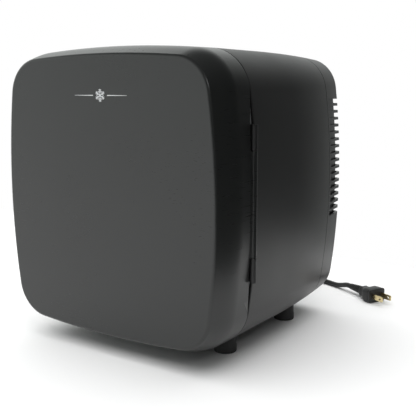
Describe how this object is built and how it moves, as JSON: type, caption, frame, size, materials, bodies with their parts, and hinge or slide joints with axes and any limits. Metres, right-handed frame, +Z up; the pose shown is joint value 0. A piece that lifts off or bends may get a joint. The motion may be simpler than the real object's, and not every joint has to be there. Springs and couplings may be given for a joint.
{
  "type": "mini fridge",
  "caption": "Small portable fridge: near-cubic cabinet with a bowed, side-hung door, louvred rear cover, four feet and a mains lead.",
  "frame": {"origin": "on the standing surface, below the middle of the cabinet's box", "axes": "+Z up; -Y is the way the door faces; +X is the hinge side, to the right as seen from the front"},
  "size_m": [0.2981, 0.3593, 0.287],
  "materials": {
    "door_black": "satin",
    "shell_black": "satin",
    "liner_grey": "smooth",
    "foam_white": "expanded foam",
    "seal_grey": "soft",
    "rubber_black": "matte",
    "steel": "plated",
    "aluminium": "extruded",
    "fan_black": "moulded",
    "module_white": "matte",
    "board_green": "lacquered",
    "transformer_yellow": "taped",
    "capacitor_blue": "sleeved",
    "lead_black": "matte",
    "blade_brass": "plain"
  },
  "bodies": {
    "cabinet": {"cabinet_shell": "shell_black", "front_frame": "liner_grey", "rear_bulkhead": "shell_black", "rear_cover": "shell_black", "cabin_liner": "liner_grey", "cabinet_foam": "foam_white", "striker_plate": "steel", "cover_screw_left_low": "steel", "cover_screw_left_high": "steel", "cover_screw_right_low": "steel", "cover_screw_right_high": "steel", "hinge_pin_upper": "steel", "hinge_pin_lower": "steel", "foot_front_left": "rubber_black", "foot_front_right": "rubber_black", "foot_rear_left": "rubber_black", "foot_rear_right": "rubber_black", "cold_sink": "aluminium", "duct_cover": "liner_grey", "inner_fan_frame": "fan_black", "spacer_block": "aluminium", "peltier_module": "module_white", "hot_sink": "aluminium", "outer_fan_frame": "fan_black", "power_board": "board_green", "transformer": "transformer_yellow", "smoothing_capacitor": "capacitor_blue", "ac_inlet": "fan_black", "dc_inlet": "fan_black", "switch_housing": "fan_black", "mains_connector": "lead_black", "connector_relief": "lead_black", "lead_from_fridge": "lead_black", "lead_coil": "lead_black", "lead_tie": "rubber_black", "lead_to_plug": "lead_black", "plug_relief": "lead_black", "mains_plug": "lead_black", "plug_blade_left": "blade_brass", "plug_blade_right": "blade_brass"},
    "door": {"door_shell": "door_black", "door_liner": "liner_grey", "door_foam": "foam_white", "door_magnet": "steel", "door_gasket": "seal_grey", "door_bin": "liner_grey"},
    "shelf": {"shelf": "liner_grey"},
    "inner_fan": {"inner_fan_rotor": "fan_black"},
    "outer_fan": {"outer_fan_rotor": "fan_black"},
    "mode_slider": {"switch_slider": "fan_black"}
  },
  "joints": [
    {"name": "door_hinge", "type": "hinge", "parent": "cabinet", "child": "door", "pos_m": [0.131, -0.078, 0.1495], "axis": [0, 0, 1], "range_deg": [0, 120]},
    {"name": "shelf_slide", "type": "slide", "parent": "cabinet", "child": "shelf", "axis": [0, -1, 0], "range_m": [0, 0.008]},
    {"name": "inner_fan_spin", "type": "hinge", "parent": "cabinet", "child": "inner_fan", "pos_m": [0, 0.0035, 0.177], "axis": [0, 1, 0], "continuous": true},
    {"name": "outer_fan_spin", "type": "hinge", "parent": "cabinet", "child": "outer_fan", "pos_m": [0, 0.0947, 0.177], "axis": [0, 1, 0], "continuous": true},
    {"name": "mode_switch_slide", "type": "slide", "parent": "cabinet", "child": "mode_slider", "axis": [1, 0, 0], "range_m": [-0.004, 0.004]}
  ]
}
